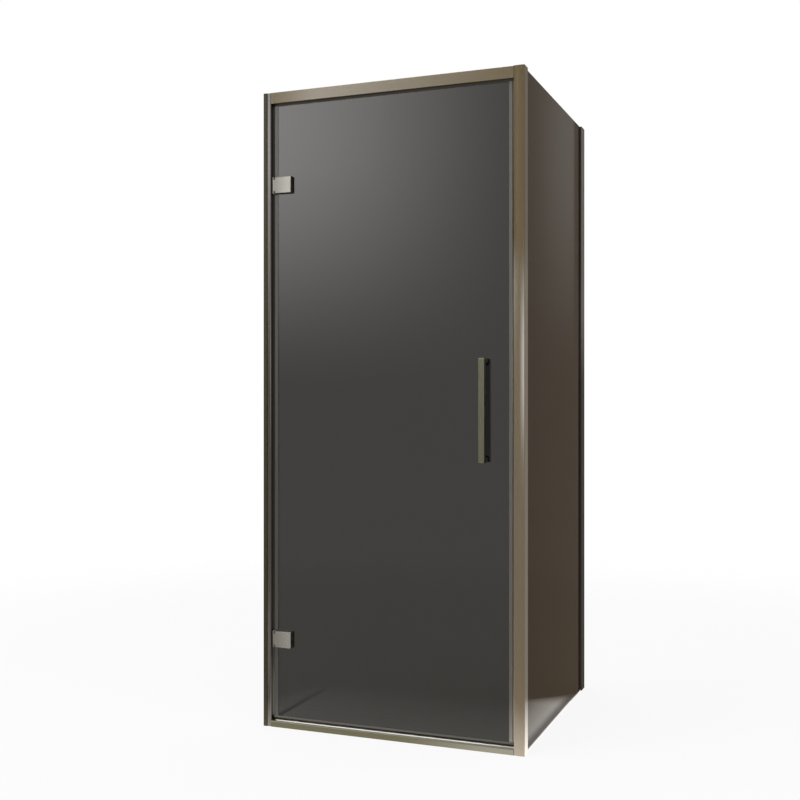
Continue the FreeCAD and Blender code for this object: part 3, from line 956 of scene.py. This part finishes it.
@dataclass
class SidePanel:
    """The fixed glass panel on the right, with its profiles, beads and screws."""

    palette: Palette
    screws: FixingScrews = field(default_factory=FixingScrews)

    def dress_solids(self) -> None:
        """Give the pane, profiles and beads their finishes."""
        dress("side_glass", self.palette.glass())
        for node in ("side_adjusting_profile", "wall_channel_rear"):
            dress(node, self.palette.rear())
        for node in ("side_gasket_corner", "side_gasket_wall"):
            dress(node, self.palette.gasket())
        dress("side_bottom_seal", self.palette.clear_seal(Axis.Y))
        dress("side_profile_end_plug", self.palette.end_plastic())

    def add_profile_screws(self) -> None:
        """Screws that hold the adjusting profile in the rear channel, on the shower side."""
        channel_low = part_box("wall_channel_rear")[0]
        along = (channel_low.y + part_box("side_adjusting_profile")[1].y) / 2
        mesh = self.screws.mesh("wall_channel_rear", channel_low.x, along, Vector((-1, 0, 0)))
        new_piece("side_fixing_screws", mesh, self.palette.screw(), "frame")

    def build(self) -> None:
        """Dress the panel and add its screws."""
        self.dress_solids()
        self.add_profile_screws()


@dataclass
class WallScrews:
    """The screws in the bases of both wall channels, heads inside the channels."""

    palette: Palette
    end_rise: float = 0.15
    inner_rise: float = 0.65
    screw: SocketScrew = field(default_factory=lambda: SocketScrew(
        head_radius=0.0046, head_tall=0.0012, shank_radius=0.0026, shank_long=0.0018))

    def heights(self, tall: float) -> list[float]:
        """Heights of the four screws of a channel.

        Args:
            tall: the enclosure's full height.

        Returns:
            The heights from the lowest up.
        """
        return [self.end_rise, self.inner_rise, tall - self.inner_rise, tall - self.end_rise]

    def build(self) -> None:
        """Add both rows of screws."""
        tall = FRAME_BOX[1].z
        left_low, left_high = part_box("wall_channel_left")
        rear_low, rear_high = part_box("wall_channel_rear")
        depth = self.screw.head_tall + self.screw.shank_long
        left = bmesh.new()
        rear = bmesh.new()
        for height in self.heights(tall):
            middle = (left_low.y + left_high.y) / 2
            self.screw.add(left, Vector((left_low.x + depth, middle, height)), Vector((1, 0, 0)))
            middle = (rear_low.x + rear_high.x) / 2
            self.screw.add(rear, Vector((middle, rear_high.y - depth, height)), Vector((0, -1, 0)))
        new_piece("wall_screws_left", left, self.palette.screw(), "frame")
        new_piece("wall_screws_rear", rear, self.palette.screw(), "frame")


@dataclass
class GlassHinge:
    """One clamp hinge: bracket and pin on the jamb, two plates and pads on the door's pane."""

    palette: Palette
    level: str
    clamp_inset: float = 0.029
    clamp_pitch: float = 0.026
    clamp_sink: float = 0.0002
    clamp_screw: SocketScrew = field(default_factory=lambda: SocketScrew(
        head_radius=0.0053, head_tall=0.0002, shank_radius=0.0028, shank_long=0.004,
        cone_tall=0.0025))
    bracket_thick: float = 0.0025
    bracket_pitch: float = 0.028
    bracket_inset: float = 0.006
    bracket_screw: SocketScrew = field(default_factory=lambda: SocketScrew(
        head_radius=0.0032, head_tall=0.0007, shank_radius=0.0014, shank_long=0.0004,
        socket_radius=0.0012, socket_deep=0.0006))

    def node(self, part: str) -> str:
        """The name of one of this hinge's solids."""
        return f"hinge_{part}_{self.level}"

    def dress_solids(self) -> None:
        """Give the plates, pin, bracket and pads their finishes."""
        dress(self.node("bracket"), self.palette.hinge(Axis.Z))
        dress(self.node("pin"), self.palette.screw())
        dress(self.node("plate_outer"), self.palette.hinge(Axis.X))
        dress(self.node("plate_inner"), self.palette.hinge(Axis.X))
        dress(self.node("gasket"), self.palette.gasket())

    def add_clamp_screws(self) -> None:
        """Countersunk screws that pull the plates together, in the inner plate."""
        inner_low, inner_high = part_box(self.node("plate_inner"))
        middle = (inner_low.z + inner_high.z) / 2
        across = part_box("door_glass")[0].x + self.clamp_inset
        mesh = bmesh.new()
        for rise in (-self.clamp_pitch / 2, self.clamp_pitch / 2):
            place = Vector((across, inner_high.y - self.clamp_sink, middle + rise))
            self.clamp_screw.add(mesh, place, Vector((0, 1, 0)))
        new_piece(f"clamp_screws_{self.level}", mesh, self.palette.screw(), "door")

    def add_bracket_screws(self) -> None:
        """Low screws that hold the bracket on the jamb."""
        low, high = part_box(self.node("bracket"))
        middle = (low.z + high.z) / 2
        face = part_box("hinge_jamb")[1].x + self.bracket_thick
        along = high.y - self.bracket_inset
        mesh = bmesh.new()
        for rise in (-self.bracket_pitch / 2, self.bracket_pitch / 2):
            place = Vector((face + self.bracket_screw.head_tall, along, middle + rise))
            self.bracket_screw.add(mesh, place, Vector((1, 0, 0)))
        new_piece(
            f"bracket_screws_{self.level}", mesh, self.palette.screw(), "frame")

    def build(self) -> None:
        """Dress the hinge and add its screws."""
        self.dress_solids()
        self.add_clamp_screws()
        self.add_bracket_screws()


@dataclass
class Door:
    """The door's pane with its seals."""

    palette: Palette

    def build(self) -> None:
        """Dress the pane and its seals."""
        dress("door_glass", self.palette.glass())
        dress("hinge_side_seal", self.palette.dark_seal(Axis.Z))
        dress("magnetic_seal", self.palette.clear_seal(Axis.Z))
        dress("drip_seal", self.palette.dark_seal(Axis.X))


@dataclass
class PullHandle:
    """The bar handle with its posts and the caps on the shower side."""

    palette: Palette
    cap_screw: SocketScrew = field(default_factory=lambda: SocketScrew(
        head_radius=0.0042, head_tall=0.0009, shank_radius=0.002, shank_long=0.0006,
        socket_radius=0.002, socket_deep=0.0007))

    def add_cap_screws(self) -> None:
        """A low socket screw in each inner cap."""
        mesh = bmesh.new()
        for level in ("upper", "lower"):
            low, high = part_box("handle_inner_cap_" + level)
            middle = (low + high) / 2
            place = Vector((middle.x, high.y + self.cap_screw.head_tall, middle.z))
            self.cap_screw.add(mesh, place, Vector((0, 1, 0)))
        new_piece("handle_cap_screws", mesh, self.palette.screw(), "door")

    def build(self) -> None:
        """Dress the handle and add its screws."""
        dress("handle_bar", self.palette.handle())
        for level in ("upper", "lower"):
            dress("handle_post_" + level, self.palette.handle())
            dress("handle_inner_cap_" + level, self.palette.handle())
        self.add_cap_screws()


@dataclass(frozen=True)
class SoftBox:
    """A soft box that shows in gloss alone, in degrees of turn and of rise over the horizon."""

    gain: float
    side: Side
    turn: Window
    rise: Window


@dataclass(frozen=True)
class Lamp:
    """A soft square lamp: its name, its place, what it faces, its side and its watts."""

    name: str
    place: Triple
    target: Triple
    size: float
    power: float


@dataclass
class Studio:
    """A plain pale floor, a white surround, soft lamps and the camera."""

    eye: Vector = field(default_factory=lambda: Vector((1.5926, -2.9812, 0.97865)))
    heading: float = math.radians(21.26)
    lens: float = 50.0
    lamps: tuple[Lamp, ...] = (
        Lamp("key_lamp", (-1.8, -2.6, 3.4), (0.4, 0.2, 0.8), 2.4, 60.0),
        Lamp("fill_lamp", (3.2, -1.6, 2.6), (0.5, 0.3, 0.8), 2.2, 28.0),
    )
    sky_diffuse: float = 0.72
    ambient: Colour = (0.72, 0.66, 0.60)
    overhead_gain: float = 3.4
    overhead_rise: Step = (45, 70)
    soft_boxes: tuple[SoftBox, ...] = (
        SoftBox(2.84, Side.FRONT, (13, 30, 50, 80), (0, 14, 35, 60)),
        SoftBox(5.6, Side.FRONT, (-16, -6, 4, 14), (-3.5, 1.2, 2.6, 7.5)),
        SoftBox(4.0, Side.FRONT, (28.5, 32, 48, 60), (2, 5.5, 7, 10)),
        SoftBox(1.6, Side.FRONT, (28.5, 32, 48, 60), (-10, -7.5, -6, -4)),
        SoftBox(11.0, Side.FRONT, (28, 30, 35, 40), (10, 12.3, 13.5, 15.6)),
        SoftBox(11.0, Side.FRONT, (28, 30, 35, 40), (-15.5, -13, -11.5, -9)),
        SoftBox(4.5, Side.REAR, (-31, -26, -18, -13), (10, 14, 20, 24)),
    )
    flag_turn: Window = (2, 9, 20, 27)
    flag_rise: Window = (-40, -28, 25, 35)
    flag_colour: Colour = (0.165, 0.122, 0.081)
    satin_flag: float = 0.5
    veil_rise: Step = (0, 13)
    veil_turn: Step = (12.25, 12.45)
    veil_gain: float = 0.03
    glow_turn: Step = (12.6, 14.9)
    glow_gain: float = 0.12
    floor_half: float = 7.0
    floor_cells: int = 8
    floor_pale: float = 0.8
    floor_white: float = 0.88
    floor_fade: Step = (1.2, 3.2)
    paper_across: float = 260.0
    paper_relief: float = 1e-4
    paper_strength: float = 0.3
    mirrored_white: float = 0.8
    mirror_warm: Colour = (1.0, 0.94, 0.86)
    mirror_reach: float = 0.48
    side_reach: float = 3.0
    rear_fade: Step = (0.5, 0.72)
    satin_floor: float = 3.5
    mirror_floor: float = 1.35
    # Painted shadow at the side panel's foot, in the floor's glow as glass mirrors it: how deep, and where it
    # lies
    painted_foot_shadow: float = 0.7
    painted_foot_window: Window = (0.0, 0.0005, 0.0054, 0.036)

    def add_camera(self) -> None:
        """The camera at the photograph's place."""
        data = bpy.data.cameras.new("camera")
        data.lens = self.lens
        camera = bpy.data.objects.new("camera", data)
        camera.location = self.eye
        camera.rotation_euler = (math.pi / 2, 0, self.heading)
        bpy.context.scene.collection.objects.link(camera)
        bpy.context.scene.camera = camera

    def add_lamp(self, lamp: Lamp) -> None:
        """Hang a lamp that lights surfaces but isn't mirrored in them.

        Args:
            lamp: the lamp.
        """
        data = bpy.data.lights.new(lamp.name, "AREA")
        data.size = lamp.size
        data.energy = lamp.power
        made = bpy.data.objects.new(lamp.name, data)
        made.location = lamp.place
        facing = Vector(lamp.target) - Vector(lamp.place)
        made.rotation_euler = facing.to_track_quat("-Z", "Y").to_euler()
        made.visible_glossy = False
        bpy.context.scene.collection.objects.link(made)

    def surround(self, shading: Shading, sharp: Term) -> bpy.types.NodeSocket:
        """What gloss mirrors: a dim surround, a dark flag behind, soft boxes and light overhead.

        Args:
            shading: the world's shading.
            sharp: 1 for what glass mirrors, 0 for what satin metal mirrors.

        Returns:
            The surround's colour.
        """
        parts = shading.parts(shading.node("ShaderNodeTexCoord").outputs["Generated"])
        across, along = parts[Axis.X], parts[Axis.Y]
        rise = shading.math("ARCSINE", parts[Axis.Z]) * DEGREES
        turns = {
            Side.FRONT: shading.math("ARCTAN2", 0.0 - across, 0.0 - along) * DEGREES,
            Side.REAR: shading.math("ARCTAN2", across, along) * DEGREES,
        }
        behind = turns[Side.REAR]
        flag = (behind.between(*self.flag_turn) * rise.between(*self.flag_rise)
                * (self.satin_flag + (1.0 - self.satin_flag) * sharp))
        glow = (1.0 - behind.rise(*self.glow_turn)) * self.glow_gain + self.veil_gain
        light = flag * rise.rise(*self.veil_rise) * behind.rise(*self.veil_turn) * glow
        light = light + self.overhead_gain * rise.rise(*self.overhead_rise)
        for box in self.soft_boxes:
            window = turns[box.side].between(*box.turn) * rise.between(*box.rise)
            light = light + box.gain * window
        return shading.lifted(shading.mix_colour(flag, self.ambient, self.flag_colour), light)

    def add_world(self) -> None:
        """White to the eye and through glass, a soft surround in gloss, plain light elsewhere."""
        world = bpy.data.worlds.new("studio")
        bpy.context.scene.world = world
        world.cycles.sampling_method = "NONE"
        shading = Shading(world)
        rays = shading.rays()
        plain = rays.direct + self.sky_diffuse * (1.0 - rays.direct - rays.mirrored)
        mirrored = shading.scaled(self.surround(shading, rays.sharp), rays.mirrored)
        colour = shading.lifted(mirrored, plain)
        shading.surface(
            shading.node("ShaderNodeBackground", None, {"Color": colour, "Strength": 1.0}))

    def floor_gap(self, shading: Shading, place: Term, index: int) -> Term:
        """How far a place on the floor lies outside the enclosure's box along X or Y.

        Args:
            shading: the floor's shading.
            place: the place's coordinate.
            index: 0 for X, 1 for Y.

        Returns:
            The way out to it, 0 where it isn't outside.
        """
        low, high = FRAME_BOX
        middle = (low[index] + high[index]) / 2
        half = (high[index] - low[index]) / 2
        return shading.math("MAXIMUM", shading.math("ABSOLUTE", place - middle) - half, 0.0)

    def floor_light(self, shading: Shading, rays: Rays, beside: Term) -> bpy.types.Node:
        """The floor's light: white to the eye, warm in gloss, with a painted shadow in gloss at the side's
        foot.

        Args:
            shading: the floor's shading.
            rays: the kinds of ray that meet it.
            beside: how far outside the box it lies along X.

        Returns:
            The emission shader.
        """
        # Painted shadow: the floor's glow in glass is dimmed near the side panel's foot
        foot = beside.between(*self.painted_foot_window)
        mirror_glare = (1.0 - self.painted_foot_shadow * foot) * self.mirror_floor
        glare = (1.0 - rays.sharp) * self.satin_floor + mirror_glare * rays.sharp
        warmth = shading.mix_colour(rays.mirrored, (1.0, 1.0, 1.0), self.mirror_warm)
        bright = rays.camera + rays.mirrored * glare
        return shading.node("ShaderNodeEmission", None, {"Color": shading.scaled(warmth, bright)})

    def floor_material(self) -> bpy.types.Material:
        """Pale paper that fades into the white surround with distance.

        Returns:
            The material.
        """
        made = bpy.data.materials.new("pale_paper_floor")
        shading = Shading(made)
        rays = shading.rays()
        places = shading.parts(shading.node("ShaderNodeTexCoord").outputs["Object"])
        beside = self.floor_gap(shading, places[Axis.X], 0)
        before = self.floor_gap(shading, places[Axis.Y], 1)
        mirror_distance = shading.length(beside * self.side_reach, before)
        near_wall = places[Axis.Y].rise(*self.rear_fade)
        mirror_fade = shading.math(
            "MINIMUM", mirror_distance * (1 / self.mirror_reach) + near_wall, 1.0)
        eye_fade = shading.length(beside, before).rise(*self.floor_fade)
        fade = rays.direct * eye_fade + rays.mirrored * mirror_fade
        grain = shading.noise((self.paper_across,) * 3, 3.0)
        paper = shading.node("ShaderNodeBsdfDiffuse", None, {
            "Color": (*(self.floor_pale,) * 3, 1.0),
            "Normal": shading.bump(grain, self.paper_relief, self.paper_strength),
        })
        white = self.floor_light(shading, rays, beside)
        whiteness = self.floor_white * rays.camera + self.mirrored_white * rays.mirrored
        diffuse = shading.node("ShaderNodeMixShader", None, {0: whiteness, 1: paper, 2: white})
        clear = shading.node("ShaderNodeBsdfTransparent")
        shading.surface(shading.node("ShaderNodeMixShader", None, {0: fade, 1: diffuse, 2: clear}))
        return made

    def add_floor(self) -> None:
        """The floor, a plain grid under the enclosure."""
        mesh = bmesh.new()
        bmesh.ops.create_grid(
            mesh, x_segments=self.floor_cells, y_segments=self.floor_cells, size=self.floor_half)
        data = bpy.data.meshes.new("studio_floor")
        mesh.to_mesh(data)
        mesh.free()
        data.materials.append(self.floor_material())
        floor = bpy.data.objects.new("studio_floor", data)
        bpy.context.scene.collection.objects.link(floor)

    def build(self) -> None:
        """Set up the whole studio."""
        self.add_camera()
        self.add_world()
        self.add_floor()
        for lamp in self.lamps:
            self.add_lamp(lamp)
        bpy.context.scene.view_settings.view_transform = "Standard"
        log.info("studio ready")


def main() -> None:
    """Build every sub-assembly of the enclosure and the studio round it."""
    logging.basicConfig(level=logging.INFO, format="%(name)s: %(message)s")
    palette = Palette()
    FrontFrame(palette).build()
    SidePanel(palette).build()
    WallScrews(palette).build()
    for level in ("upper", "lower"):
        GlassHinge(palette, level).build()
    Door(palette).build()
    PullHandle(palette).build()
    Studio().build()


if __name__ == "__main__":
    main()
